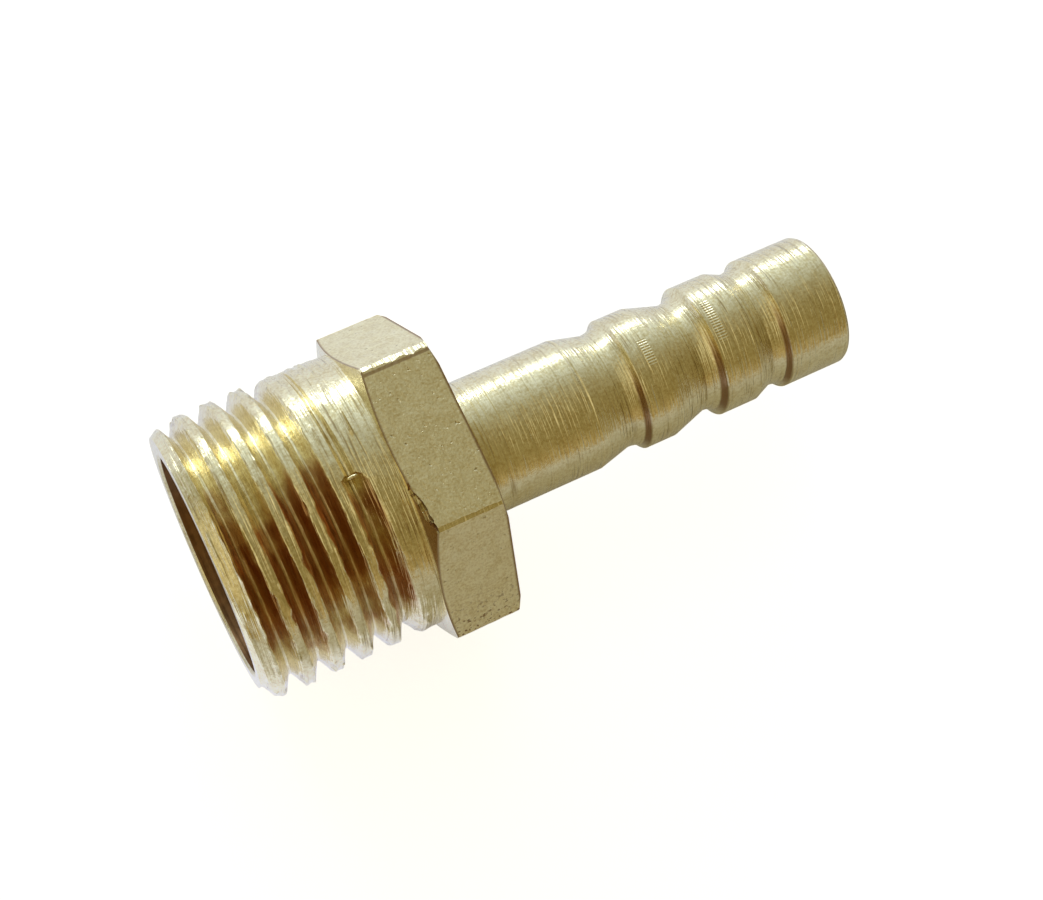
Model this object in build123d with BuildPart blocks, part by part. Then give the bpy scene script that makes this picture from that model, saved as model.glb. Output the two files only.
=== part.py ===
"""Brass hose barb tail, turned from one length of hexagon bar.

Male G 1/4 pipe thread at one end, a spanner hexagon, and a tail with three
barbs for a 6 mm hose at the other, with a stepped bore from end to end.

The tail lies on one flat of its hexagon, as it does on a bench. X runs along
its axis from the threaded end to the hose end, Z is up, and the origin is the
centre of its bounding box at the bench. Stations are distances along the axis
from the threaded end. Millimetres.
"""
from build123d import *
from math import cos, pi, radians, tan
import os

# Lengths along the axis
total_length = 30.8
hex_start = 8.28
hex_end = 11.75

# Pipe thread, 19 threads to the inch, crests left as flat as the turned blank
thread_major_d = 12.92
thread_pitch = 25.4 / 19
flank_angle = 27.5
crest_width = 0.49
root_station = 1.041          # first root on the upper side of the tail
thread_end_station = 7.22     # where the die opened, on the hidden side
lead_chamfer_angle = 30.0     # from the axis
lead_chamfer_length = 0.745
collar_start = 7.90
collar_d = 12.8

# Hexagon
hex_across_flats = 12.94
thread_side_chamfer = 18.0    # from the hexagon's face
hose_side_chamfer = 20.0
hose_side_chamfer_d = 14.0

# Hose tail: each barb is a taper, a shoulder and a land, listed from the hexagon
tail_d = 6.3
shoulder_length = 0.30
shoulder_stations = (20.32, 24.30, 27.70)
taper_starts = (17.95, 21.80, 26.07)
taper_end_diameters = (5.52, 5.25, 5.60)
end_chamfer = 0.15

# Stepped bore
mouth_d = 10.2
mouth_depth = 7.0
mouth_chamfer = 0.12
drill_point_angle = 118.0
bore_d = 4.0
bore_chamfer = 0.20

# Derived sizes
thread_r = thread_major_d / 2
tail_r = tail_d / 2
hex_corner_r = hex_across_flats / 2 / cos(pi / 6)
collar_r = collar_d / 2
lead_slope = tan(radians(lead_chamfer_angle))
groove_width = thread_pitch - crest_width
groove_slope = tan(radians(flank_angle))
groove_depth = groove_width / 2 / groove_slope
first_helix_station = root_station - 2 * thread_pitch
helix_length = thread_end_station - first_helix_station

# The lowest flat of the hexagon is on the bench, with the thread's crests just clear of it
axis_start = Vector(-total_length / 2, 0, hex_across_flats / 2)
section_plane = Plane(origin=axis_start, x_dir=(1, 0, 0), z_dir=(0, -1, 0))
cross_plane = Plane(origin=axis_start, x_dir=(0, 1, 0), z_dir=(1, 0, 0))
tail_axis = Axis(axis_start, (1, 0, 0))


def tail_outline():
    """Points of the hose tail's outline, from the first taper to the hose end."""
    points = []
    for start, end_d, station in zip(taper_starts, taper_end_diameters, shoulder_stations):
        points.append((start, tail_r))
        points.append((station - shoulder_length, end_d / 2))
        points.append((station, tail_r))
    points.append((total_length - end_chamfer, tail_r))
    points.append((total_length, tail_r - end_chamfer))
    return points


with BuildPart() as hose_barb_tail:
    # Hexagon, its corners turned back on both sides
    with BuildSketch(cross_plane.offset(hex_start)):
        RegularPolygon(radius=hex_corner_r, side_count=6)
    extrude(amount=hex_end - hex_start)
    corner_setback = (hex_corner_r - collar_r) * tan(radians(thread_side_chamfer))
    hose_chamfer_r = hose_side_chamfer_d / 2
    hose_setback = (hex_corner_r - hose_chamfer_r) * tan(radians(hose_side_chamfer))
    with BuildSketch(section_plane):
        with BuildLine():
            Polyline(
                (hex_start, 0),
                (hex_start, collar_r),
                (hex_start + corner_setback, hex_corner_r),
                (hex_end - hose_setback, hex_corner_r),
                (hex_end, hose_chamfer_r),
                (hex_end, 0),
                close=True,
            )
        make_face()
    revolve(axis=tail_axis, mode=Mode.INTERSECT)

    # Blank for the thread, with the collar behind it
    with BuildSketch(section_plane):
        with BuildLine():
            Polyline(
                (0, 0),
                (0, thread_r),
                (collar_start, thread_r),
                (collar_start, collar_r),
                (hex_start, collar_r),
                (hex_start, 0),
                close=True,
            )
        make_face()
    revolve(axis=tail_axis)

    # Thread groove: a vee swept along a right-hand helix that starts off the end
    with BuildLine() as helix:
        Helix(
            pitch=thread_pitch,
            height=helix_length,
            radius=thread_r,
            center=axis_start + Vector(first_helix_station, 0, 0),
            direction=(1, 0, 0),
        )
    with BuildSketch(section_plane):
        clearance = 0.3
        top_half = groove_width / 2 + clearance * groove_slope
        with BuildLine():
            Polyline(
                (first_helix_station - top_half, thread_r + clearance),
                (first_helix_station, thread_r - groove_depth),
                (first_helix_station + top_half, thread_r + clearance),
                close=True,
            )
        make_face()
    sweep(path=helix.line, is_frenet=True, mode=Mode.SUBTRACT)

    # Lead-in chamfer across the thread's start: a ring with a sloping inside
    with BuildSketch(section_plane):
        ring_start = -0.5
        ring_r = thread_r + 1
        lead_r = thread_r - lead_chamfer_length * lead_slope
        with BuildLine():
            Polyline(
                (ring_start, lead_r + ring_start * lead_slope),
                (ring_start, ring_r),
                ((ring_r - lead_r) / lead_slope, ring_r),
                close=True,
            )
        make_face()
    revolve(axis=tail_axis, mode=Mode.SUBTRACT)

    # Hose tail with its three barbs
    with BuildSketch(section_plane):
        with BuildLine():
            Polyline(
                (hex_end, 0),
                (hex_end, tail_r),
                *tail_outline(),
                (total_length, 0),
                close=True,
            )
        make_face()
    revolve(axis=tail_axis)

    # Stepped bore: wide mouth, drill point, narrow way through the hose tail
    mouth_r = mouth_d / 2
    bore_r = bore_d / 2
    point_length = (mouth_r - bore_r) / tan(radians(drill_point_angle / 2))
    with BuildSketch(section_plane):
        with BuildLine():
            Polyline(
                (0, 0),
                (0, mouth_r + mouth_chamfer),
                (mouth_chamfer, mouth_r),
                (mouth_depth, mouth_r),
                (mouth_depth + point_length, bore_r),
                (total_length - bore_chamfer, bore_r),
                (total_length, bore_r + bore_chamfer),
                (total_length, 0),
                close=True,
            )
        make_face()
    revolve(axis=tail_axis, mode=Mode.SUBTRACT)

hose_barb_tail.part.label = "hose_barb_tail"

os.makedirs("parts", exist_ok=True)
export_step(hose_barb_tail.part, "parts/hose_barb_tail.step")
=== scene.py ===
import math
import bpy
import bmesh
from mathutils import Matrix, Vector, noise


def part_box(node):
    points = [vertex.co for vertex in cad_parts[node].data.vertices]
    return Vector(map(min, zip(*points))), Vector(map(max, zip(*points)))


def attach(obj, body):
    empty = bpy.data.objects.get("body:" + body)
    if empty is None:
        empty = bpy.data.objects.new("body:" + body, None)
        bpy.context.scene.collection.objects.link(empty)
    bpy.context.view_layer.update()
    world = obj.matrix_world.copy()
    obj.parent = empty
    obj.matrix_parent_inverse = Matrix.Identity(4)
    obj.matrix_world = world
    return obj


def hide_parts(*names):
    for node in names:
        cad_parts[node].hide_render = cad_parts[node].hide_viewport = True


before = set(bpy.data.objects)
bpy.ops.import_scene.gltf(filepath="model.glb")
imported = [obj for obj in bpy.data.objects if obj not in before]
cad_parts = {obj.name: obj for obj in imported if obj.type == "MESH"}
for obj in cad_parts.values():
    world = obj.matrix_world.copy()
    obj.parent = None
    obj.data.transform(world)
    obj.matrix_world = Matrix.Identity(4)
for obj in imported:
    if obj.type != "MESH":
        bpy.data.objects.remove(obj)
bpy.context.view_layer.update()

mm = 0.001
nodeName = "hose_barb_tail"
nodeLow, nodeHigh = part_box(nodeName)
startX = nodeLow.x                          # threaded end of the tail
axisHeight = (nodeLow.z + nodeHigh.z) / 2   # two flats of the hexagon lie level, so the axis is midway
spinSteps = 256
mergeDistance = 0.001 * mm
smoothAngle = 20                            # degrees: faces that meet at less are shaded as one surface

for leftover in ("Cube", "Light", "Camera"):   # what an empty Blender file starts with
    if leftover in bpy.data.objects:
        bpy.data.objects.remove(bpy.data.objects[leftover], do_unlink=True)


def deselectAll():
    if bpy.context.mode != "OBJECT":
        bpy.ops.object.mode_set(mode="OBJECT")
    bpy.ops.object.select_all(action="DESELECT")


def activate(piece):
    deselectAll()
    piece.select_set(True)
    bpy.context.view_layer.objects.active = piece


def settle(piece):
    activate(piece)
    bpy.ops.object.transform_apply(location=True, rotation=True, scale=True)


def applyModifier(piece, modifier):
    activate(piece)
    bpy.ops.object.modifier_apply(modifier=modifier.name)


def combine(piece, tool, operation):
    modifier = piece.modifiers.new(operation, "BOOLEAN")
    modifier.operation = operation
    modifier.solver = "MANIFOLD"
    modifier.object = tool
    applyModifier(piece, modifier)
    bpy.data.objects.remove(tool, do_unlink=True)


# Draws a closed outline of (station, radius) points above the axis, by extruding one vertex
def drawOutline(name, points, longest):
    deselectAll()
    bpy.ops.mesh.primitive_plane_add(size=mm)
    piece = bpy.context.object
    piece.name = name
    bpy.ops.object.mode_set(mode="EDIT")
    bpy.ops.mesh.merge(type="CENTER")
    here = Vector((0, 0, 0))
    for place, (along, radius) in enumerate(points):
        target = Vector((startX + along * mm, 0, radius * mm))
        if place == 0:
            bpy.ops.transform.translate(value=target - here)
        else:
            bpy.ops.mesh.extrude_region_move(TRANSFORM_OT_translate={"value": target - here})
        here = target
    mesh = bmesh.from_edit_mesh(piece.data)
    mesh.verts.ensure_lookup_table()
    mesh.verts[0].select = True
    bpy.ops.mesh.edge_face_add()
    splitLongEdges(piece, longest)
    bpy.ops.object.mode_set(mode="OBJECT")
    return piece


# Halves the edges that are longer than the wanted step, until none is left
def splitLongEdges(piece, longest):
    while True:
        mesh = bmesh.from_edit_mesh(piece.data)
        found = 0
        for edge in mesh.edges:
            middle = (edge.verts[0].co + edge.verts[1].co) / 2
            edge.select_set(edge.calc_length() > longest((middle.x - startX) / mm, middle.z / mm) * mm)
            found += edge.select
        bmesh.update_edit_mesh(piece.data)
        if not found:
            return
        bpy.ops.mesh.subdivide(number_cuts=1)


def lathe(name, points, longest):
    piece = drawOutline(name, points, longest)
    bpy.ops.object.mode_set(mode="EDIT")
    bpy.ops.mesh.select_all(action="SELECT")
    bpy.ops.mesh.spin(steps=spinSteps, angle=math.tau, center=(0, 0, 0), axis=(1, 0, 0))
    bpy.ops.mesh.select_all(action="SELECT")
    bpy.ops.mesh.remove_doubles(threshold=mergeDistance)
    bpy.ops.mesh.normals_make_consistent(inside=False)
    bpy.ops.object.mode_set(mode="OBJECT")
    return piece


# Station in mm, radius in mm and angle in turns, from straight up towards -Y
def polar(place):
    angle = math.atan2(-place.y, place.z) / math.tau
    return (place.x - startX) / mm, math.hypot(place.y, place.z) / mm, angle


def fromPolar(along, radius, angle):
    turn = angle * math.tau
    return Vector((startX + along * mm, -radius * mm * math.sin(turn), radius * mm * math.cos(turn)))


def smooth(value, start, end):
    share = min(max((value - start) / (end - start), 0), 1)
    return share * share * (3 - 2 * share)


# Lengths in mm and angles in degrees. A place of three numbers is a station, a radius and turns.
blank = {
    "threadRadius": 6.46, "collarStart": 7.55, "collarRadius": 6.43, "collarEase": 0.25,
    "leadLength": 0.745, "leadAngle": 30,
    "hexStart": 8.28, "hexEnd": 11.75, "stepInsideBar": (0.6, 0.9),
    "tailRadius": 3.15, "landRadius": 3.155, "toolLine": (0.14, 0.07), "toolLineDepth": 0.025,
    "taperStarts": (17.95, 21.80, 26.07), "taperEndRadii": (2.76, 2.625, 2.80),
    "shoulders": (20.32, 24.30, 27.70), "shoulderFoot": 0.80, "footPoints": 6, "footTurn": 16,
    "rimRound": 0.05, "length": 30.8, "endChamfer": 0.15, "endEase": (0.04, 0.06),
    "mouthRadius": 5.1, "mouthDepth": 7.0, "mouthChamfer": 0.12,
    "drillAngle": 118, "boreRadius": 2.0, "boreChamfer": 0.20,
}


# Foot of a barb's shoulder: a quarter ellipse, level at its start and steep at the rim
def shoulderPoints(b, shoulder, lowRadius):
    points = []
    height = b["landRadius"] - lowRadius
    for step in range(b["footPoints"]):
        turn = math.radians(b["footTurn"] * step)
        along = shoulder - b["shoulderFoot"] * (1 - math.sin(turn))
        points.append((along, lowRadius + height * (1 - math.cos(turn))))
    points.append((shoulder + b["rimRound"], b["landRadius"]))
    return points


def turnedOutline(b):
    leadRadius = b["threadRadius"] - b["leadLength"] * math.tan(math.radians(b["leadAngle"]))
    pointLength = (b["mouthRadius"] - b["boreRadius"]) / math.tan(math.radians(b["drillAngle"] / 2))
    points = [
        (0, leadRadius), (b["leadLength"], b["threadRadius"]),
        (b["collarStart"], b["threadRadius"]),
        (b["collarStart"] + b["collarEase"], b["collarRadius"]),
        (b["hexStart"] + b["stepInsideBar"][0], b["collarRadius"]),
        (b["hexStart"] + b["stepInsideBar"][1], b["tailRadius"]),
    ]
    for start, endRadius, shoulder in zip(b["taperStarts"], b["taperEndRadii"], b["shoulders"]):
        if start == b["taperStarts"][0]:       # a fine line where the tool changed its course
            points += [(start - b["toolLine"][0], b["landRadius"]),
                       (start - b["toolLine"][1], b["landRadius"] - b["toolLineDepth"])]
        points.append((start, b["landRadius"]))
        points += shoulderPoints(b, shoulder, endRadius)
    points += [
        (b["length"] - b["endChamfer"], b["landRadius"]),
        (b["length"] - b["endEase"][0], b["landRadius"] - b["endEase"][1]),
        (b["length"], b["landRadius"] - b["endChamfer"]),
        (b["length"], b["boreRadius"] + b["boreChamfer"]), (b["length"] - b["boreChamfer"], b["boreRadius"]),
        (b["mouthDepth"] + pointLength, b["boreRadius"]), (b["mouthDepth"], b["mouthRadius"]),
        (b["mouthChamfer"], b["mouthRadius"]), (0, b["mouthRadius"] + b["mouthChamfer"]),
    ]
    return points


# Longest edge of the outline in each part, and how far past its radius the bore and the mouth count
longestEdges = {"bore": 4, "mouth": 2, "tail": 0.24, "thread": 0.16, "pastBore": 0.3, "pastMouth": 0.2}


def turnedStep(along, radius):
    if radius < blank["boreRadius"] + longestEdges["pastBore"]:
        return longestEdges["bore"]
    if radius < blank["mouthRadius"] + longestEdges["pastMouth"] and along < blank["hexEnd"]:
        return longestEdges["mouth"]
    return longestEdges["tail"] if along > blank["hexEnd"] else longestEdges["thread"]


# Uneven rings left by the tool on the outside, on the tail and from the hexagon to the thread
toolRings = {"tail": 0.0035, "crest": 0.004, "perMm": 3.0, "wander": 0.30, "pastBores": 0.3}


def leaveToolRings(piece, r):
    for vertex in piece.data.vertices:
        along, radius, angle = polar(vertex.co)
        inMouth = along < blank["hexEnd"] and radius < blank["mouthRadius"] + r["pastBores"]
        if inMouth or radius < blank["boreRadius"] + r["pastBores"]:
            continue
        size = r["tail"] if along > blank["hexEnd"] else r["crest"]
        place = Vector((along * r["perMm"], vertex.co.y / mm * r["wander"], vertex.co.z / mm * r["wander"]))
        vertex.co = fromPolar(along, radius + size * noise.noise(place), angle)


print("turned blank")
body = lathe("hoseBarbTail", turnedOutline(blank), turnedStep)
leaveToolRings(body, toolRings)

# Turns are counted from where the groove's root crosses rootStation, straight up
thread = {
    "pitch": 25.4 / 19, "rootStation": 1.041, "turnsBefore": 2, "endStation": 7.3,
    "halfWidth": 0.445, "flankAngle": 27.5, "rootRadius": 0.10, "clearance": 0.2, "longestEdge": 0.30,
    "crestRounding": 0.05, "roundingPoints": ((1, 0.1), (0.3, 0.45), (-0.5, 1.4)),
    "shallowFrom": 3.50, "shallowTo": 4.006, "liftUntil": 3.70, "lift": 0.62,
    "dropFrom": 3.76, "drop": 0.24, "rootHalf": 0.2, "rootLift": 0.07,
    "wideFrom": 0.06, "wideShare": 0.42, "wideWithin": 0.01,
    "edgeFrom": 0.8, "waver": 0.040, "waversPerTurn": 90, "waverSeed": 0.5,
    "nick": 0.26, "nicksPerTurn": 38, "nickSeed": 7.5, "nickAbove": 0.18, "lanes": (3.0, 11.0),
}


def grooveOutline(t, centre):
    slope = math.tan(math.radians(t["flankAngle"]))
    apex = blank["threadRadius"] - t["halfWidth"] / slope
    arcCentre = apex + t["rootRadius"] / math.sin(math.radians(t["flankAngle"]))
    top = t["halfWidth"] + t["clearance"] * slope
    crest, soft = blank["threadRadius"], t["crestRounding"]
    shoulder = [(top + soft, crest + t["clearance"])]
    shoulder += [(t["halfWidth"] + out * soft, crest - down * soft) for out, down in t["roundingPoints"]]
    points = [(centre - beside, radius) for beside, radius in shoulder]
    for share in (-1, -0.5, 0, 0.5, 1):
        turn = math.radians(share * (90 - t["flankAngle"]))
        across, inwards = t["rootRadius"] * math.sin(turn), t["rootRadius"] * math.cos(turn)
        points.append((centre + across, arcCentre - inwards))
    points += [(centre + beside, radius) for beside, radius in reversed(shoulder)]
    return points


def grooveCutter(t):
    first = t["rootStation"] - t["turnsBefore"] * t["pitch"]
    length = t["endStation"] - first
    piece = drawOutline("threadCutter", grooveOutline(t, first), lambda along, radius: t["longestEdge"])
    screw = piece.modifiers.new("Screw", "SCREW")
    screw.axis = "X"
    screw.angle = length / t["pitch"] * math.tau
    screw.screw_offset = length * mm
    screw.steps = screw.render_steps = round(spinSteps * length / t["pitch"])
    screw.use_merge_vertices = False
    applyModifier(piece, screw)
    bpy.ops.object.mode_set(mode="EDIT")
    bpy.ops.mesh.select_all(action="SELECT")
    bpy.ops.mesh.remove_doubles(threshold=mergeDistance)
    bpy.ops.mesh.fill_holes(sides=0)
    bpy.ops.mesh.select_all(action="SELECT")
    bpy.ops.mesh.normals_make_consistent(inside=False)
    bpy.ops.object.mode_set(mode="OBJECT")
    return piece


# Moves the cutter out where the last turn is shallow, and widens it where the die opened
def shapeRunOut(piece, t):
    for vertex in piece.data.vertices:
        along, radius, angle = polar(vertex.co)
        turns = round((along - t["rootStation"]) / t["pitch"] - angle) + angle
        beside = along - t["rootStation"] - turns * t["pitch"]
        if t["shallowFrom"] < turns < t["shallowTo"]:
            rise = smooth(turns, t["shallowFrom"], t["liftUntil"])
            lift = t["lift"] * rise - t["drop"] * smooth(turns, t["dropFrom"], t["shallowTo"])
            radius += lift
            if abs(beside) < t["rootHalf"]:
                radius += t["rootLift"] * rise
        if turns >= t["shallowTo"] and beside > t["wideFrom"]:
            opened = smooth(turns, t["shallowTo"], t["shallowTo"] + t["wideWithin"])
            along += (beside - t["wideFrom"]) * t["wideShare"] * opened
        if abs(beside) > t["edgeFrom"] * t["halfWidth"]:
            along += math.copysign(crestWear(t, turns, beside > 0), beside)
        vertex.co = fromPolar(along, radius, angle)


# How far a crest's edge is eaten away: a fine waver, and a nick here and there
def crestWear(t, turns, onHoseSide):
    lane = t["lanes"][1 if onHoseSide else 0]
    waver = noise.noise(Vector((turns * t["waversPerTurn"], lane, t["waverSeed"])))
    bite = noise.noise(Vector((turns * t["nicksPerTurn"], lane, t["nickSeed"])))
    return t["waver"] * waver + t["nick"] * max(bite - t["nickAbove"], 0)


print("thread")
cutter = grooveCutter(thread)
shapeRunOut(cutter, thread)
combine(body, cutter, "DIFFERENCE")

# Metal pushed up along the lead-in's edge and the crests, and a torn nib where the last turn begins
burrs = {
    "depth": 0.35, "pastThread": 0.3,
    "leadWidth": 0.24, "leadHeight": 0.05, "leadShift": 0.12, "leadPerTurn": 55,
    "leadSeeds": (2.0, 4.0), "leadShare": 0.3,
    "lipHeight": 0.17, "lipWidth": 0.14, "lipPerTurn": 70, "lipApart": 3.1, "lipPerMm": 2,
    "nibPlace": (6.44, 6.42, 0.006), "nibSize": (0.52, 0.17, 0.22), "nibCuts": 3,
    "nibRagged": 0.04, "nibPerMm": 6,
}


def raiseBurrs(piece, b, t):
    for vertex in piece.data.vertices:
        along, radius, angle = polar(vertex.co)
        if radius < blank["threadRadius"] - b["depth"] or along > t["endStation"] + b["pastThread"]:
            continue
        near = 1 - min(abs(along - blank["leadLength"]) / b["leadWidth"], 1)
        ragged = noise.noise(Vector((angle * b["leadPerTurn"], *b["leadSeeds"])))
        turns = (along - t["rootStation"]) / t["pitch"] - angle
        beside = abs(turns - round(turns)) * t["pitch"]
        lip = 1 - min(abs(beside - t["halfWidth"]) / b["lipWidth"], 1)
        lane = round(turns) * b["lipApart"]
        torn = noise.noise(Vector((angle * b["lipPerTurn"], lane, along * b["lipPerMm"])))
        along += b["leadShift"] * near * ragged
        radius += b["leadHeight"] * near * (ragged + b["leadShare"]) + b["lipHeight"] * lip * max(torn, 0)
        vertex.co = fromPolar(along, radius, angle)


def tornNib(b):
    deselectAll()
    bpy.ops.mesh.primitive_ico_sphere_add(subdivisions=b["nibCuts"], radius=0.5 * mm)
    piece = bpy.context.object
    piece.name = "tornNib"
    outwards = fromPolar(*b["nibPlace"]) - fromPolar(b["nibPlace"][0], 0, 0)
    piece.scale = b["nibSize"]   # the ball is 1 mm across, so these are its sizes in mm
    piece.location = fromPolar(*b["nibPlace"])
    piece.rotation_euler.x = -math.atan2(outwards.y, outwards.z)
    settle(piece)
    for vertex in piece.data.vertices:
        vertex.co += noise.noise_vector(vertex.co / mm * b["nibPerMm"]) * b["nibRagged"] * mm
    return piece


raiseBurrs(body, burrs, thread)
combine(body, tornNib(burrs), "UNION")

hexagon = {
    "start": blank["hexStart"], "end": blank["hexEnd"], "acrossFlats": 12.94,
    "threadSideRadius": 6.45, "threadSideAngle": 18,
    "hoseSideRadius": 7.0, "hoseSideAngle": 20, "turningPast": 0.05, "longestEdge": 1.0,
    "holeRadius": 3.05,
    "edgeBevel": 0.22, "edgeCuts": 56, "edgeFind": 0.02, "lengthwise": 0.9, "cornersFrom": 0.3,
    "edgeReach": (0.127, 0.127), "edgeRagged": 0.35, "leastReach": 0.3,
    "burrFrom": (2, 4), "burrReach": (0.17, 0.245), "burrRagged": 0.9, "burrLine": 3.44,
    "coarsePerMm": 1.7, "finePerMm": 6, "fineShare": 0.5, "edgesApart": 55, "seeds": (2.1, 8.1),
}


def cornerRadius(h):
    return h["acrossFlats"] / 2 / math.cos(math.pi / 6)


def hexagonBar(h):
    length = h["end"] - h["start"]
    deselectAll()
    bpy.ops.mesh.primitive_cylinder_add(
        vertices=6, radius=cornerRadius(h) * mm, depth=length * mm, end_fill_type="NGON",
        location=(startX + (h["start"] + length / 2) * mm, 0, 0), rotation=(0, math.pi / 2, 0))
    bar = bpy.context.object
    bar.name = "hexagonBar"
    settle(bar)
    corner = max(bar.data.vertices, key=lambda vertex: vertex.co.z).co
    if abs(corner.y) < 0.01 * mm:   # a corner is straight up, where a flat should be
        bar.rotation_euler.x = math.pi / 6
        settle(bar)
    bpy.ops.object.mode_set(mode="EDIT")
    selectLongEdges(bar, h)
    bpy.ops.mesh.subdivide(number_cuts=h["edgeCuts"])
    selectLongEdges(bar, h)
    bpy.ops.mesh.bevel(offset=h["edgeBevel"] * mm, offset_type="WIDTH", segments=1, affect="EDGES")
    bpy.ops.object.mode_set(mode="OBJECT")
    roughenEdges(bar, h)
    return bar


# The long edge that the bar's burr was rolled over is the upper one on the +Y side
def isBurredEdge(place, h):
    return place.y > h["burrFrom"][0] * mm and place.z > h["burrFrom"][1] * mm


def selectLongEdges(piece, h):
    bpy.ops.mesh.select_all(action="DESELECT")
    mesh = bmesh.from_edit_mesh(piece.data)
    for edge in mesh.edges:
        middle = (edge.verts[0].co + edge.verts[1].co) / 2
        lengthwise = abs((edge.verts[0].co - edge.verts[1].co).normalized().x) > h["lengthwise"]
        atCorner = math.hypot(middle.y, middle.z) > (cornerRadius(h) - h["edgeFind"]) * mm
        edge.select_set(lengthwise and atCorner)
    bmesh.update_edit_mesh(piece.data)


# Wavers the width of each rounded edge and keeps its slope: coarser and leaning over on the burred one
def roughenEdges(piece, h):
    flat = h["acrossFlats"] / 2
    for vertex in piece.data.vertices:
        along, radius, angle = polar(vertex.co)
        if radius < flat + h["cornersFrom"]:
            continue
        facing = round(angle * 6) / 6
        corner = (math.floor(angle * 6) + 0.5) / 6
        burred = isBurredEdge(vertex.co, h)
        reach = h["burrReach" if burred else "edgeReach"][0 if facing == 0 else 1]
        lane = corner * h["edgesApart"]
        torn = noise.noise(Vector((along * h["coarsePerMm"], lane, h["seeds"][0])))
        torn += h["fineShare"] * noise.noise(Vector((along * h["finePerMm"], lane, h["seeds"][1])))
        reach *= max(1 + h["burrRagged" if burred else "edgeRagged"] * torn, h["leastReach"])
        start = fromPolar(along, cornerRadius(h), corner)
        vertex.co = start + (fromPolar(along, flat, facing) - start).normalized() * reach * mm


def hexagonTurning(h):
    outside = cornerRadius(h) + h["turningPast"]
    startSet = (outside - h["threadSideRadius"]) * math.tan(math.radians(h["threadSideAngle"]))
    endSet = (outside - h["hoseSideRadius"]) * math.tan(math.radians(h["hoseSideAngle"]))
    points = [
        (h["start"], h["holeRadius"]), (h["start"], h["threadSideRadius"]),
        (h["start"] + startSet, outside), (h["end"] - endSet, outside),
        (h["end"], h["hoseSideRadius"]), (h["end"], h["holeRadius"]),
    ]
    return lathe("hexagonTurning", points, lambda along, radius: h["longestEdge"])


# A torn chip along the chamfer's edge, from the top flat to the corner on its -Y side
notch = {
    "from": (8.34, 6.66, 0.036), "to": (8.66, 7.40, 0.084), "width": 0.24, "depth": 0.90,
    "cuts": 16, "ragged": 0.16, "perLength": 9, "seeds": (0.4, 1.7), "tip": 0.03, "tipSize": 0.25,
    "wallsWithin": 0.4, "wallsAbove": 6.47, "lowest": -3.60, "endways": 0.9, "level": 0.998,
}


def notchCutter(n):
    start, end = fromPolar(*n["from"]), fromPolar(*n["to"])
    deselectAll()
    bpy.ops.mesh.primitive_cube_add(size=1, location=(start + end) / 2)
    piece = bpy.context.object
    piece.name = "notchCutter"
    piece.scale = ((end - start).length, n["width"] * mm, n["depth"] * mm)
    piece.rotation_euler = (end - start).to_track_quat("X", "Z").to_euler()
    settle(piece)
    lengthwise = (end - start).normalized()
    bpy.ops.object.mode_set(mode="EDIT")
    bpy.ops.mesh.select_all(action="SELECT")
    bpy.ops.mesh.subdivide(number_cuts=n["cuts"])
    bpy.ops.object.mode_set(mode="OBJECT")
    for vertex in piece.data.vertices:
        share = min(max((vertex.co - start).dot(lengthwise) / (end - start).length, 0), 1)
        fade = math.sin(math.pi * min(max(share, n["tip"]), 1 - n["tip"]))
        middle = start.lerp(end, share)
        wander = noise.noise_vector(Vector((share * n["perLength"], *n["seeds"]))) * n["ragged"] * mm
        vertex.co = middle + (vertex.co - middle) * (n["tipSize"] + (1 - n["tipSize"]) * fade) + wander
    return piece


print("hexagon")
bar = hexagonBar(hexagon)
combine(bar, hexagonTurning(hexagon), "INTERSECT")
combine(body, bar, "UNION")
combine(body, notchCutter(notch), "DIFFERENCE")
triangles = sum(len(face.vertices) - 2 for face in body.data.polygons)
print("body", len(body.data.vertices), len(body.data.polygons), triangles)

body.location.z = axisHeight
settle(body)
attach(body, "root")
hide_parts(nodeName)
activate(body)
bpy.ops.object.shade_smooth_by_angle(angle=math.radians(smoothAngle))


def newMaterial(name, metallic=0):
    material = bpy.data.materials.new(name)
    material.use_nodes = True
    tree = material.node_tree
    shader = tree.nodes["Principled BSDF"]
    shader.inputs["Metallic"].default_value = metallic
    return material, tree, shader


# Object coordinates with the axis at the origin, stretched by a scale along and across the axis
def axialCoordinates(tree, along, across):
    coordinates = tree.nodes.new("ShaderNodeTexCoord")
    mapping = tree.nodes.new("ShaderNodeMapping")
    mapping.vector_type = "POINT"
    mapping.inputs["Scale"].default_value = (along, across, across)
    mapping.inputs["Location"].default_value = (0, 0, -axisHeight * across)
    tree.links.new(coordinates.outputs["Object"], mapping.inputs["Vector"])
    return mapping.outputs["Vector"]


def noiseNode(tree, vector, scale, detail, roughness=0.5):
    node = tree.nodes.new("ShaderNodeTexNoise")
    node.inputs["Scale"].default_value = scale
    node.inputs["Detail"].default_value = detail
    node.inputs["Roughness"].default_value = roughness
    tree.links.new(vector, node.inputs["Vector"])
    return node.outputs["Fac"]


# Noise with one scale along the axis and one across it: broken rings, where the first is much larger
def ringNoise(tree, scales, detail, roughness):
    return noiseNode(tree, axialCoordinates(tree, *scales), 1, detail, roughness)


def rampNode(tree, value, stops):
    node = tree.nodes.new("ShaderNodeValToRGB")
    ramp = node.color_ramp
    while len(ramp.elements) < len(stops):
        ramp.elements.new(0.5)
    for element, (place, colour) in zip(ramp.elements, stops):
        element.position = place
        element.color = (*colour, 1)
    tree.links.new(value, node.inputs["Fac"])
    return node.outputs["Color"]


def mixColours(tree, share, first, second):
    node = tree.nodes.new("ShaderNodeMix")
    node.data_type = "RGBA"
    tree.links.new(share, node.inputs["Factor"])
    tree.links.new(first, node.inputs["A"])
    node.inputs["B"].default_value = (*second, 1)
    return node.outputs["Result"]


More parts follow.
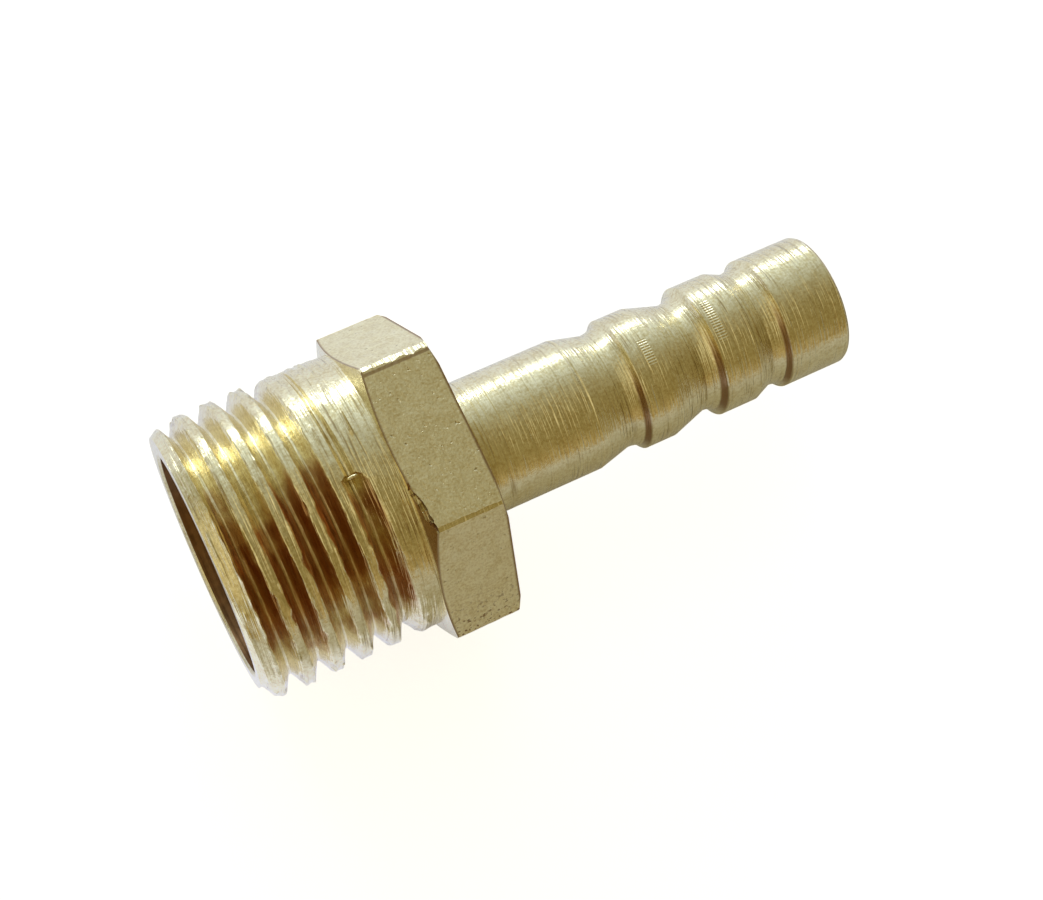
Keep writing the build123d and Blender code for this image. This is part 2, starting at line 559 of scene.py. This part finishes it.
def mathNode(tree, operation, first, second):
    node = tree.nodes.new("ShaderNodeMath")
    node.operation = operation
    for socket, value in zip(node.inputs, (first, second)):
        if isinstance(value, (int, float)):
            socket.default_value = value
        else:
            tree.links.new(value, socket)
    return node.outputs["Value"]


def vectorMath(tree, operation, vector, output, second=None):
    node = tree.nodes.new("ShaderNodeVectorMath")
    node.operation = operation
    tree.links.new(vector, node.inputs[0])
    if second:
        node.inputs[1].default_value = second
    return node.outputs[output]


def splitNode(tree, vector):
    node = tree.nodes.new("ShaderNodeSeparateXYZ")
    tree.links.new(vector, node.inputs["Vector"])
    return node.outputs


def rangeNode(tree, value, fromMin, fromMax, toMin=0.0, toMax=1.0):
    node = tree.nodes.new("ShaderNodeMapRange")
    for name, number in (("From Min", fromMin), ("From Max", fromMax), ("To Min", toMin), ("To Max", toMax)):
        node.inputs[name].default_value = number
    tree.links.new(value, node.inputs["Value"])
    return node.outputs["Result"]


# How far a value lies from a place, on either side of it
def awayNode(tree, value, place):
    return mathNode(tree, "ABSOLUTE", mathNode(tree, "SUBTRACT", value, place), 0)


# Object coordinates from the axis, with the place along it left out
def acrossAxis(tree):
    return axialCoordinates(tree, 0, 1)


# How far a point lies from the axis, in metres
def radiusNode(tree):
    return vectorMath(tree, "LENGTH", acrossAxis(tree), "Value")


# How far a point lies from the threaded end, in metres
def stationNode(tree):
    return mathNode(tree, "SUBTRACT", splitNode(tree, axialCoordinates(tree, 1, 1))["X"], startX)


# 1 on the side of the axis that a direction points to, and -1 on the other
def facingNode(tree, side):
    outwards = vectorMath(tree, "NORMALIZE", acrossAxis(tree), "Vector")
    return vectorMath(tree, "DOT_PRODUCT", outwards, "Value", side)


# Bumps laid on one another: a height and its depth in mm for each
def addBumps(tree, shader, layers):
    normal = None
    for height, depth in layers:
        node = tree.nodes.new("ShaderNodeBump")
        node.inputs["Distance"].default_value = depth * mm
        tree.links.new(height, node.inputs["Height"])
        if normal:
            tree.links.new(normal, node.inputs["Normal"])
        normal = node.outputs["Normal"]
    tree.links.new(normal, shader.inputs["Normal"])


# What all the finishes share: colours, and how the grain and the speckle of the gloss are spread
brass = {
    "light": (0.93, 0.85, 0.54), "dark": (0.74, 0.62, 0.32), "scratch": (0.42, 0.31, 0.13),
    # Painted shade colours: the first for the groove and the bore; the second, darker, for shade lines, the
    # chamfer and the bore, and also for real specks on the flats
    "shaded": (0.50, 0.28, 0.12), "deepShadeAndSpecks": (0.30, 0.17, 0.07),
    "fineShare": 0.65, "coarseShare": 0.35, "darkAt": 0.36, "lightAt": 0.58,
    "speckleFrom": 0.3, "speckleTo": 0.7,
}


def addRoughness(tree, shader, vector, scale, limits):
    speckle = noiseNode(tree, vector, scale, 5, 0.7)
    roughness = rangeNode(tree, speckle, brass["speckleFrom"], brass["speckleTo"], *limits)
    tree.links.new(roughness, shader.inputs["Roughness"])


# Two sizes of grain, so that the metal is never one even colour
def grainColour(tree, b, fine, coarse):
    around = axialCoordinates(tree, 1, 1)
    small = noiseNode(tree, around, fine, 2, 0.6)
    large = noiseNode(tree, around, coarse, 4, 0.6)
    both = mathNode(tree, "ADD", mathNode(tree, "MULTIPLY", small, b["fineShare"]),
                    mathNode(tree, "MULTIPLY", large, b["coarseShare"]))
    return rampNode(tree, both, [(b["darkAt"], b["dark"]), (b["lightAt"], b["light"])])


# Painted shade: the thread's groove darkened brown, mostly above the axis and towards -Y, and dark painted
# shade lines on the tail
paintedShade = {
    "crestRadius": 6.43, "deepRadius": 6.36, "rootRadius": 5.79, "rootFade": 0.03, "rootShare": 0.55,
    "firstStation": 0.80, "lastStation": 8.0, "stationFade": 0.1,
    "side": (0, -0.5, 0.866), "sideFrom": 0.80, "sideTo": 0.97, "elsewhere": 0.06,
    "cloudScales": (500, 260), "cloudFrom": 0.3, "cloudTo": 0.7, "cloudReach": 0.22,
    "lineSet": 0.09, "lineWidth": 0.15, "shadeLineShare": 0.95,
    "lineSide": (0, -0.766, 0.643), "lineSideFrom": 0.60, "lineSideTo": 0.88,
    "rimFrom": 0.13, "rimTo": 0.07, "rimShadeShare": 0.6,
}


# Share of the painted shade in the thread's groove
def paintedShadeShare(tree, s):
    radius = radiusNode(tree)
    depth = rangeNode(tree, radius, s["crestRadius"] * mm, s["deepRadius"] * mm)
    rootEnd = (s["rootRadius"] - s["rootFade"]) * mm
    root = rangeNode(tree, radius, s["rootRadius"] * mm, rootEnd, 1, s["rootShare"])
    station = stationNode(tree)
    first, last, fade = s["firstStation"], s["lastStation"], s["stationFade"]
    begun = rangeNode(tree, station, (first - fade) * mm, first * mm)
    ended = rangeNode(tree, station, (last + fade) * mm, last * mm)
    facing = facingNode(tree, s["side"])
    cloud = ringNoise(tree, s["cloudScales"], 4, 0.6)
    drift = rangeNode(tree, cloud, s["cloudFrom"], s["cloudTo"], -s["cloudReach"], s["cloudReach"])
    facing = mathNode(tree, "ADD", facing, drift)
    side = rangeNode(tree, facing, s["sideFrom"], s["sideTo"], s["elsewhere"], 1)
    share = mathNode(tree, "MULTIPLY", depth, root)
    share = mathNode(tree, "MULTIPLY", share, mathNode(tree, "MULTIPLY", begun, ended))
    return mathNode(tree, "MULTIPLY", share, side)


# Painted shade: dark lines on the steep face of each shoulder, on the -Y side, and round the hose end's rim
def shadeLineShare(tree, s):
    station = stationNode(tree)
    nearest = 1
    for shoulder in blank["shoulders"]:
        away = awayNode(tree, station, (shoulder - s["lineSet"]) * mm)
        nearest = mathNode(tree, "MINIMUM", away, nearest)
    line = rangeNode(tree, nearest, s["lineWidth"] * mm, s["lineWidth"] / 2 * mm, 0, s["shadeLineShare"])
    facing = facingNode(tree, s["lineSide"])
    line = mathNode(tree, "MULTIPLY", line, rangeNode(tree, facing, s["lineSideFrom"], s["lineSideTo"]))
    rimFrom, rimTo = (blank["length"] - s["rimFrom"]) * mm, (blank["length"] - s["rimTo"]) * mm
    return mathNode(tree, "MAXIMUM", line, rangeNode(tree, station, rimFrom, rimTo, 0, s["rimShadeShare"]))


# Rungs left where the tool chattered past two shoulders: each place is a station, a half width and two
# angles, in degrees from straight up towards +Y
chatter = {"places": ((21.25, 0.26, -8, 18), (24.75, 0.26, -14, 28)), "rungs": 150, "depth": 0.008,
           "fade": 0.08, "fullWithin": 0.8, "slant": 900}


def chatterHeight(tree, c):
    parts = splitNode(tree, acrossAxis(tree))
    angle = mathNode(tree, "ARCTAN2", parts["Y"], parts["Z"])
    station = stationNode(tree)
    total = 0
    for middle, half, fromAngle, toAngle in c["places"]:
        away = awayNode(tree, station, middle * mm)
        band = rangeNode(tree, away, half * mm, (half - c["fade"]) * mm)
        centre, reach = math.radians((fromAngle + toAngle) / 2), math.radians((toAngle - fromAngle) / 2)
        beside = awayNode(tree, angle, centre)
        arc = rangeNode(tree, beside, reach, reach * c["fullWithin"])
        total = mathNode(tree, "ADD", mathNode(tree, "MULTIPLY", band, arc), total)
    slant = mathNode(tree, "MULTIPLY", station, c["slant"])
    phase = mathNode(tree, "ADD", mathNode(tree, "MULTIPLY", angle, c["rungs"]), slant)
    return mathNode(tree, "MULTIPLY", mathNode(tree, "SINE", phase, 0), total)


# Noise scales are per metre. A pair is along and across the axis, but the grain's is fine and coarse.
turned = {
    "grain": (7500, 1300), "grainBump": 6500, "grainDepth": 0.007,
    "rings": (8000, 300), "ringDepth": 0.080, "bands": (1900, 160), "bandDepth": 0.030,
    "scratchFrom": 0.44, "scratchTo": 0.30, "scratchShare": 0.8,
    "patches": 420, "patchFrom": 0.42, "patchTo": 0.60, "patchLeast": 0.15,
    "speckle": (5000, 1500), "roughness": (0.15, 0.27),
}


# Thread, collar and hose tail: broken rings from the tool over a fine grain
def turnedBrass(b, look):
    material, tree, shader = newMaterial("turnedBrass", metallic=1)
    around = axialCoordinates(tree, 1, 1)
    rings = ringNoise(tree, look["rings"], 2, 0.6)
    bands = ringNoise(tree, look["bands"], 2, 0.5)
    colour = grainColour(tree, b, *look["grain"])
    scratched = rangeNode(tree, rings, look["scratchFrom"], look["scratchTo"], 0, look["scratchShare"])
    patches = noiseNode(tree, around, look["patches"], 2)
    patches = rangeNode(tree, patches, look["patchFrom"], look["patchTo"], look["patchLeast"], 1)
    colour = mixColours(tree, mathNode(tree, "MULTIPLY", scratched, patches), colour, b["scratch"])
    # Painted shade in the thread's groove
    colour = mixColours(tree, paintedShadeShare(tree, paintedShade), colour, b["shaded"])
    # Painted shade lines on the shoulders and round the hose end's rim
    colour = mixColours(tree, shadeLineShare(tree, paintedShade), colour, b["deepShadeAndSpecks"])
    tree.links.new(colour, shader.inputs["Base Color"])
    addRoughness(tree, shader, axialCoordinates(tree, *look["speckle"]), 1, look["roughness"])
    grain = noiseNode(tree, around, look["grainBump"], 2)
    addBumps(tree, shader, ((bands, look["bandDepth"]), (rings, look["ringDepth"]),
                            (grain, look["grainDepth"]), (chatterHeight(tree, chatter), chatter["depth"])))
    return material


# Painted shade lines on the flats: how far from its edge each begins and is full, in mm, and how dark it is
rimShades = {"hoseSide": (0.13, 0.05, 0.9), "chamfer": (0.12, 0.04, 0.8), "burr": (0.10, 0.05, 0.7)}


# Painted shade where the flats meet the hose-side face and the thread-side chamfer, and beside the burr
def rimShadeShare(tree, h, r):
    station = stationNode(tree)
    begins, full, share = r["hoseSide"]
    endRim = rangeNode(tree, station, (h["end"] - begins) * mm, (h["end"] - full) * mm, 0, share)
    slope = math.tan(math.radians(h["threadSideAngle"]))
    cone = mathNode(tree, "MULTIPLY", radiusNode(tree), slope)
    fromCone = mathNode(tree, "SUBTRACT", station, cone)
    edge = (h["start"] - h["threadSideRadius"] * slope) * mm
    begins, full, share = r["chamfer"]
    startRim = rangeNode(tree, fromCone, edge + begins * mm, edge + full * mm, 0, share)
    fromBurr = awayNode(tree, splitNode(tree, acrossAxis(tree))["Y"], h["burrLine"] * mm)
    begins, full, share = r["burr"]
    besideBurr = rangeNode(tree, fromBurr, begins * mm, full * mm, 0, share)
    both = mathNode(tree, "MAXIMUM", startRim, endRim)
    return mathNode(tree, "MAXIMUM", both, besideBurr)


drawn = {
    "grain": (8500, 1600), "grainBump": 7000, "grainDepth": 0.022, "swell": 1100, "swellDepth": 0.03,
    "lines": (8000, 1900), "lineDepth": 0.022,
    "pits": 4200, "pitFrom": 0.31, "pitTo": 0.25, "pitShare": 0.8, "pitEdge": 0.33, "pitDepth": 0.03,
    "specks": 5200, "speckFrom": 0.42, "speckTo": 0.35, "specksFrom": -6.1, "specksTo": -7.2,
    "speckle": 2500, "roughness": (0.34, 0.50),
}


# Flats of the bar as it was drawn: satin, with a fine grain, small pits and specks near the -Y edge, and
# painted shade lines along their rims
def barBrass(b, look):
    material, tree, shader = newMaterial("barBrass", metallic=1)
    around = axialCoordinates(tree, 1, 1)
    pits = noiseNode(tree, around, look["pits"], 2)
    colour = grainColour(tree, b, *look["grain"])
    pitted = rangeNode(tree, pits, look["pitFrom"], look["pitTo"], 0, look["pitShare"])
    colour = mixColours(tree, pitted, colour, b["scratch"])
    # Painted shade along the flats' rims and beside the burr
    colour = mixColours(tree, rimShadeShare(tree, hexagon, rimShades), colour, b["deepShadeAndSpecks"])
    sideways = splitNode(tree, acrossAxis(tree))["Y"]
    nearEdge = rangeNode(tree, sideways, look["specksFrom"] * mm, look["specksTo"] * mm)
    specks = noiseNode(tree, around, look["specks"], 2)
    specks = rangeNode(tree, specks, look["speckFrom"], look["speckTo"])
    specks = mathNode(tree, "MULTIPLY", specks, nearEdge)
    colour = mixColours(tree, specks, colour, b["deepShadeAndSpecks"])
    tree.links.new(colour, shader.inputs["Base Color"])
    addRoughness(tree, shader, around, look["speckle"], look["roughness"])
    grain = noiseNode(tree, around, look["grainBump"], 4, 0.7)
    swell = noiseNode(tree, around, look["swell"], 3)
    lines = ringNoise(tree, look["lines"], 2, 0.6)
    pitDepths = rangeNode(tree, pits, look["pitTo"], look["pitEdge"])
    addBumps(tree, shader, ((swell, look["swellDepth"]), (lines, look["lineDepth"]),
                            (grain, look["grainDepth"]), (pitDepths, look["pitDepth"])))
    return material


faced = {
    "grain": (7500, 1300), "grainBump": 7000, "grainDepth": 0.006, "rings": 9000, "ringDepth": 0.010,
    "shadedFrom": 6.5, "shadedTo": 6.6, "paintedShadeShare": 0.95, "threadSideFrom": 9.6, "threadSideTo": 9.4,
    "facingFrom": 0.75, "facingTo": 0.92, "speckle": 3000, "roughness": (0.15, 0.27),
}


# Faces square to the axis, or nearly: rings round the centre, and painted shade on the thread-side chamfer
def facedBrass(b, look):
    material, tree, shader = newMaterial("facedBrass", metallic=1)
    around = axialCoordinates(tree, 1, 1)
    # Painted shade on the thread-side chamfer, on its side above the axis and towards -Y
    facing = facingNode(tree, paintedShade["side"])
    onChamfer = rangeNode(tree, radiusNode(tree), look["shadedFrom"] * mm, look["shadedTo"] * mm,
                          0, look["paintedShadeShare"])
    threadSide = rangeNode(tree, stationNode(tree), look["threadSideFrom"] * mm, look["threadSideTo"] * mm)
    onChamfer = mathNode(tree, "MULTIPLY", onChamfer, threadSide)
    facing = rangeNode(tree, facing, look["facingFrom"], look["facingTo"])
    shaded = mathNode(tree, "MULTIPLY", onChamfer, facing)
    colour = mixColours(tree, shaded, grainColour(tree, b, *look["grain"]), b["deepShadeAndSpecks"])
    tree.links.new(colour, shader.inputs["Base Color"])
    addRoughness(tree, shader, around, look["speckle"], look["roughness"])
    rings = tree.nodes.new("ShaderNodeTexNoise")
    rings.noise_dimensions = "1D"
    rings.inputs["Scale"].default_value = look["rings"]
    rings.inputs["Detail"].default_value = 4
    tree.links.new(radiusNode(tree), rings.inputs["W"])
    grain = noiseNode(tree, around, look["grainBump"], 3, 0.6)
    addBumps(tree, shader, ((rings.outputs["Fac"], look["ringDepth"]), (grain, look["grainDepth"])))
    return material


bore = {"cloud": 1500, "darkAt": 0.3, "lightAt": 0.7, "rings": (5000, 150), "ringDepth": 0.016,
        "speckle": 3000, "roughness": (0.30, 0.45)}


# Inside: drilled and dull, coloured dark brown as painted shade
def shadedBoreBrass(b, look):
    material, tree, shader = newMaterial("shadedBoreBrass", metallic=1)
    around = axialCoordinates(tree, 1, 1)
    cloud = noiseNode(tree, around, look["cloud"], 7, 0.7)
    colour = rampNode(tree, cloud, [(look["darkAt"], b["deepShadeAndSpecks"]), (look["lightAt"], b["shaded"])])
    tree.links.new(colour, shader.inputs["Base Color"])
    addRoughness(tree, shader, around, look["speckle"], look["roughness"])
    rings = ringNoise(tree, look["rings"], 3, 0.6)
    addBumps(tree, shader, ((rings, look["ringDepth"]),))
    return material


# Where one finish gives way to the next
borders = {"square": 0.95, "hexagonEnds": 0.01, "hexagonRadius": 6.44, "pastMouth": 0.01, "pastBore": 0.05,
           "roundedEndways": 0.25, "roundedFrom": 7}
turnedSlot, barSlot, facedSlot, boreSlot = range(4)


def giveMaterials(piece, b):
    piece.data.materials.clear()
    for material in (turnedBrass(b, turned), barBrass(b, drawn), facedBrass(b, faced), shadedBoreBrass(b, bore)):
        piece.data.materials.append(material)
    hexagonFrom = hexagon["start"] - borders["hexagonEnds"]
    hexagonTo = hexagon["end"] + borders["hexagonEnds"]
    for face in piece.data.polygons:
        along, radius = polar(face.center - Vector((0, 0, axisHeight)))[:2]
        inHexagon = hexagonFrom < along < hexagonTo
        insideMouth = along < hexagon["end"] and radius < blank["mouthRadius"] + borders["pastMouth"]
        if abs(face.normal.x) > borders["square"] and radius > blank["boreRadius"]:
            face.material_index = facedSlot
        elif insideMouth or radius < blank["boreRadius"] + borders["pastBore"]:
            face.material_index = boreSlot
        # The torn chip's walls take the bore's painted shade
        elif inNotch(face, notch):
            face.material_index = boreSlot
        elif inHexagon and radius > borders["hexagonRadius"] and not onRoundedEdge(face):
            face.material_index = barSlot
        else:
            face.material_index = turnedSlot


# Between two flats of the bar, where the stock is rubbed bright
def onRoundedEdge(face):
    angle = math.degrees(math.atan2(face.normal.y, face.normal.z))
    fromFlat = abs((angle + 30) % 60 - 30)
    return abs(face.normal.x) < borders["roundedEndways"] and fromFlat > borders["roundedFrom"]


# The walls of the torn chip, which get the bore's dark colours as painted shade
def inNotch(face, n):
    place = face.center - Vector((0, 0, axisHeight))
    start, end = fromPolar(*n["from"]), fromPolar(*n["to"])
    share = min(max((place - start).dot(end - start) / (end - start).length_squared, 0), 1)
    if (place - start.lerp(end, share)).length > n["wallsWithin"] * mm or abs(face.normal.x) > n["endways"]:
        return False
    return face.normal.z < n["level"] and polar(place)[1] > n["wallsAbove"] and place.y > n["lowest"] * mm


print("materials")
giveMaterials(body, brass)

# Places and sizes are in metres here, apart from the camera's lens and sensor, which are in mm
view = {"place": (-0.020275, -0.014735, 0.086060), "turn": (14.690, -8.336, -26.133), "lens": 63.82,
        "sensor": 36, "nearest": 0.001}
window = {"place": (0.02, 0.30, 0.064), "width": 0.20, "height": 0.055, "watts": 0.19,
          "colour": (0.70, 0.80, 1.0)}
floor = {"size": 3.0, "drop": 0.02 * mm, "colour": (0.80, 0.81, 0.82), "roughness": 0.8, "cameraGlow": 0.76,
         "glossColour": (0.84, 0.97, 1.50), "litGlow": 0.42, "litFrom": -0.003, "litTo": 0.007,
         "farGlow": 0.12, "farFrom": -0.014, "farTo": -0.05,
         "threadGlow": 0.60, "threadFrom": -0.026, "threadTo": -0.010, "threadEnd": (0.010, 0.006),
         "frontFrom": 0, "frontTo": -0.004}


def addCamera(v):
    deselectAll()
    bpy.ops.object.camera_add(location=v["place"], rotation=[math.radians(a) for a in v["turn"]])
    camera = bpy.context.object
    camera.data.lens = v["lens"]
    camera.data.sensor_width = v["sensor"]
    camera.data.clip_start = v["nearest"]
    bpy.context.scene.camera = camera


def addWindow(w):
    deselectAll()
    bpy.ops.object.light_add(type="AREA", location=w["place"])
    lamp = bpy.context.object
    lamp.name = "window"
    lamp.data.shape = "RECTANGLE"
    lamp.data.size, lamp.data.size_y = w["width"], w["height"]
    lamp.data.energy = w["watts"]
    lamp.data.color = w["colour"]
    toPart = Vector((0, 0, axisHeight)) - Vector(w["place"])
    lamp.rotation_euler = toPart.to_track_quat("-Z", "Y").to_euler()


# How strongly the sheet glows in the metal: on the +Y side, far off on the -Y side, and beside the thread
def mirroredGlow(tree, f):
    place = splitNode(tree, tree.nodes.new("ShaderNodeTexCoord").outputs["Object"])
    litSide = rangeNode(tree, place["Y"], f["litFrom"], f["litTo"], 0, f["litGlow"])
    farSide = rangeNode(tree, place["Y"], f["farFrom"], f["farTo"], 0, f["farGlow"])
    litSide = mathNode(tree, "ADD", litSide, farSide)
    nearThread = rangeNode(tree, place["Y"], f["threadFrom"], f["threadTo"], 0, f["threadGlow"])
    inFront = rangeNode(tree, place["Y"], f["frontFrom"], f["frontTo"])
    nearThread = mathNode(tree, "MULTIPLY", nearThread, inFront)
    station = mathNode(tree, "SUBTRACT", place["X"], startX)
    alongThread = rangeNode(tree, station, *f["threadEnd"])
    nearThread = mathNode(tree, "MULTIPLY", nearThread, alongThread)
    return mathNode(tree, "ADD", litSide, nearThread)


def addFloor(f):
    deselectAll()
    bpy.ops.mesh.primitive_plane_add(size=f["size"], location=(0, 0, -f["drop"]))
    plane = bpy.context.object
    plane.name = "floor"
    settle(plane)
    material, tree, shader = newMaterial("floorPaper")
    shader.inputs["Base Color"].default_value = (*f["colour"], 1)
    shader.inputs["Roughness"].default_value = f["roughness"]
    path = tree.nodes.new("ShaderNodeLightPath")
    glow = mirroredGlow(tree, f)
    seen = mathNode(tree, "MULTIPLY", path.outputs["Is Camera Ray"], f["cameraGlow"])
    mirrored = mathNode(tree, "MULTIPLY", path.outputs["Is Glossy Ray"], glow)
    surface = shader.outputs[0]
    for strength, colour in ((seen, (1, 1, 1)), (mirrored, f["glossColour"])):
        light = tree.nodes.new("ShaderNodeEmission")
        light.inputs["Color"].default_value = (*colour, 1)
        tree.links.new(strength, light.inputs["Strength"])
        both = tree.nodes.new("ShaderNodeAddShader")
        tree.links.new(surface, both.inputs[0])
        tree.links.new(light.outputs[0], both.inputs[1])
        surface = both.outputs[0]
    tree.links.new(surface, tree.nodes["Material Output"].inputs["Surface"])
    plane.data.materials.append(material)


# The room in the metal: bright towards the window, brownish and dimmer elsewhere, with a glow on the
# mouth's side. The camera itself sees it white.
room = {
    "towards": (0.20, 0.955, 0.215), "stops": [
        (0.00, (0.40, 0.31, 0.18)), (0.05, (0.45, 0.35, 0.18)), (0.17, (0.27, 0.21, 0.085)),
        (0.55, (0.27, 0.225, 0.110)), (0.72, (0.34, 0.31, 0.21)), (0.82, (0.42, 0.42, 0.35)),
        (0.90, (0.56, 0.60, 0.62)), (0.96, (0.76, 0.84, 0.92)), (1.00, (0.95, 1.05, 1.15)),
    ],
    "mouthSide": (-0.75, -0.10, 0.65), "mouthFrom": 0.70, "mouthTo": 0.95, "mouthGlow": (0.45, 0.42, 0.33),
}


def addRoom(r):
    world = bpy.data.worlds.new("room")
    bpy.context.scene.world = world
    world.use_nodes = True
    tree = world.node_tree
    direction = tree.nodes.new("ShaderNodeTexCoord").outputs["Generated"]
    facing = vectorMath(tree, "DOT_PRODUCT", direction, "Value", r["towards"])
    colour = rampNode(tree, rangeNode(tree, facing, -1, 1), r["stops"])
    beside = vectorMath(tree, "DOT_PRODUCT", direction, "Value", r["mouthSide"])
    beside = rangeNode(tree, beside, r["mouthFrom"], r["mouthTo"])
    glow = rampNode(tree, beside, [(0, (0, 0, 0)), (1, r["mouthGlow"])])
    both = tree.nodes.new("ShaderNodeVectorMath")
    both.operation = "ADD"
    tree.links.new(colour, both.inputs[0])
    tree.links.new(glow, both.inputs[1])
    isCamera = tree.nodes.new("ShaderNodeLightPath").outputs["Is Camera Ray"]
    seen = mixColours(tree, isCamera, both.outputs["Vector"], (1, 1, 1))
    tree.links.new(seen, tree.nodes["Background"].inputs["Color"])


print("camera and light")
addCamera(view)
addWindow(window)
addFloor(floor)
addRoom(room)
bpy.context.scene.view_settings.view_transform = "Standard"
